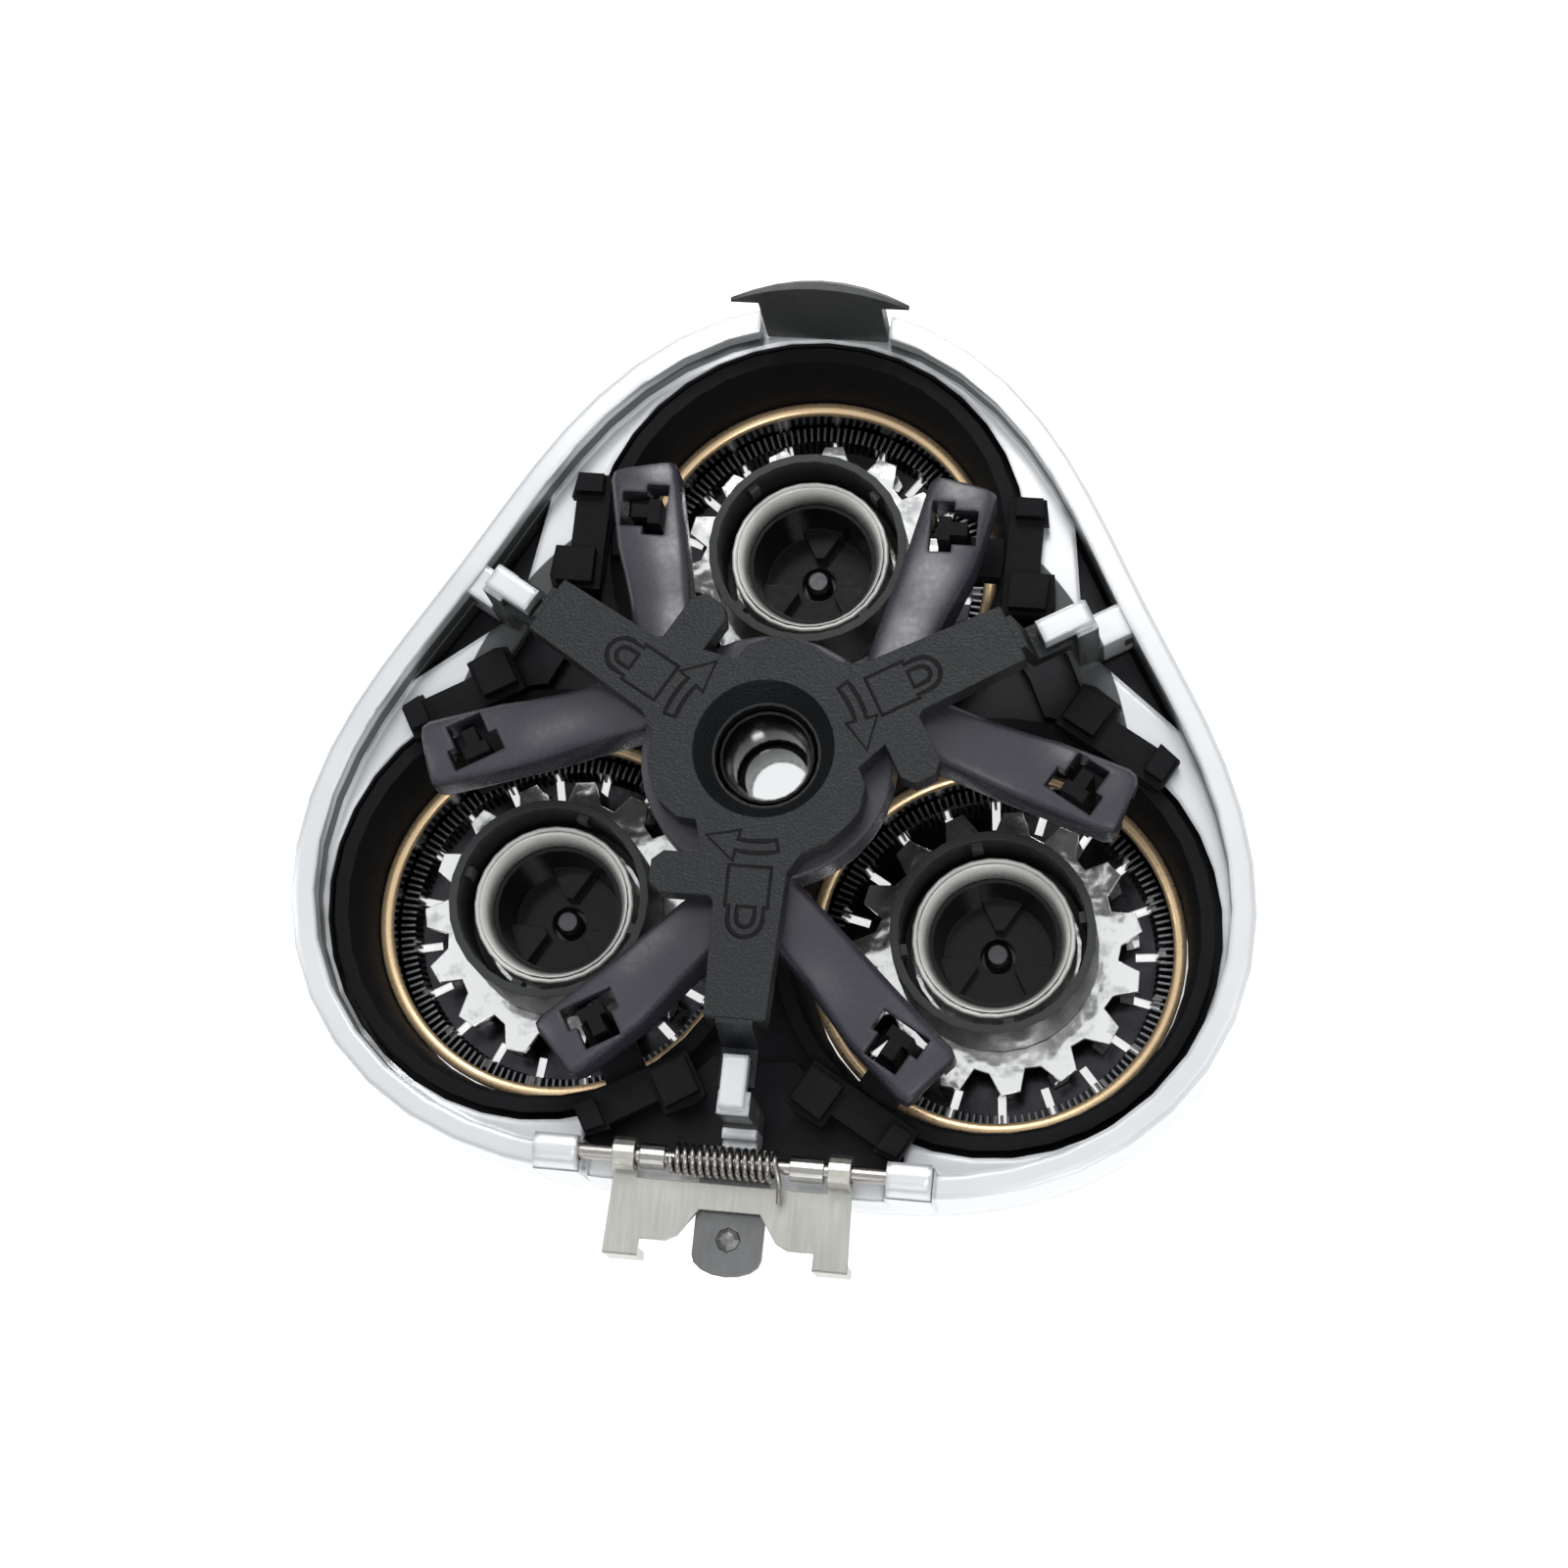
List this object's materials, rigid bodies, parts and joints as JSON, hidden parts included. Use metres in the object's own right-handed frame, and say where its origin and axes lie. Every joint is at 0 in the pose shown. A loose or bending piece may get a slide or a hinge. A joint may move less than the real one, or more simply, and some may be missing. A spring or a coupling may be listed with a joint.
{
  "type": "rotary shaver head",
  "caption": "Three-unit rotary shaver head seen from its back, with slotted caps, toothed cutters, a retaining frame under a turning lock, a rim tab and a sprung hinge plate.",
  "frame": {"origin": "centre of the object's box, on the plane that the caps rest on", "axes": "+Z from the caps to the back with the lock, +Y from the hinge to the coupling tab, +X across the head"},
  "size_m": [0.0686, 0.0716, 0.0213],
  "materials": {
    "silver": "silver lacquer",
    "dark_frame": "fine matte",
    "grey_frame": "satin",
    "matte_black": "fine grain",
    "gloss_black": "gloss",
    "steel": "ground",
    "gold": "bright",
    "nickel": "satin nickel",
    "pin_grey": "dull"
  },
  "bodies": {
    "housing": {"outer_shell": "silver", "front_trim": "silver", "chassis": "dark_frame", "coupling_tab": "dark_frame", "retaining_frame": "grey_frame", "centre_bush": "gloss_black", "latch_tongue": "nickel", "hinge_pin": "steel", "pin_sleeve_left": "nickel", "pin_sleeve_right": "nickel"},
    "lock": {"lock_spider": "matte_black"},
    "plate": {"hinge_plate": "nickel", "hinge_spring": "nickel"},
    "unit_top": {"cap_holder_top": "gloss_black", "shaving_cap_top": "steel", "cap_disc_top": "nickel", "rim_ring_top": "gold", "bearing_pin_top": "pin_grey"},
    "unit_left": {"cap_holder_left": "gloss_black", "shaving_cap_left": "steel", "cap_disc_left": "nickel", "rim_ring_left": "gold", "bearing_pin_left": "pin_grey"},
    "unit_right": {"cap_holder_right": "gloss_black", "shaving_cap_right": "steel", "cap_disc_right": "nickel", "rim_ring_right": "gold", "bearing_pin_right": "pin_grey"},
    "cutter_top": {"cutter_blade_top": "steel", "cutter_collar_top": "steel", "cutter_hub_top": "matte_black", "drive_socket_top": "gloss_black"},
    "cutter_left": {"cutter_blade_left": "steel", "cutter_collar_left": "steel", "cutter_hub_left": "matte_black", "drive_socket_left": "gloss_black"},
    "cutter_right": {"cutter_blade_right": "steel", "cutter_collar_right": "steel", "cutter_hub_right": "matte_black", "drive_socket_right": "gloss_black"}
  },
  "joints": [
    {"name": "lock_turn", "type": "hinge", "parent": "housing", "child": "lock", "pos_m": [0, -0.00078, 0.02], "axis": [0, 0, 1], "range_deg": [0, 11]},
    {"name": "plate_hinge", "type": "hinge", "parent": "housing", "child": "plate", "pos_m": [0, -0.02828, 0.0148], "axis": [-1, 0, 0], "range_deg": [0, 95], "stiffness_Nm_per_rad": 0.004, "deforming": ["hinge_spring"]},
    {"name": "rock_top", "type": "hinge", "parent": "housing", "child": "unit_top", "pos_m": [0, 0.01755, 0.0065], "axis": [1, 0, 0], "range_deg": [-4, 4]},
    {"name": "rock_left", "type": "hinge", "parent": "housing", "child": "unit_left", "pos_m": [-0.01587, -0.00995, 0.0065], "axis": [0.5, -0.866, 0], "range_deg": [-4, 4]},
    {"name": "rock_right", "type": "hinge", "parent": "housing", "child": "unit_right", "pos_m": [0.01587, -0.00995, 0.0065], "axis": [0.5, 0.866, 0], "range_deg": [-4, 4]},
    {"name": "spin_top", "type": "hinge", "parent": "unit_top", "child": "cutter_top", "pos_m": [0, 0.01755, 0.004], "axis": [0, 0, 1], "continuous": true},
    {"name": "spin_left", "type": "hinge", "parent": "unit_left", "child": "cutter_left", "pos_m": [-0.01587, -0.00995, 0.004], "axis": [0, 0, 1], "continuous": true},
    {"name": "spin_right", "type": "hinge", "parent": "unit_right", "child": "cutter_right", "pos_m": [0.01587, -0.00995, 0.004], "axis": [0, 0, 1], "continuous": true}
  ]
}
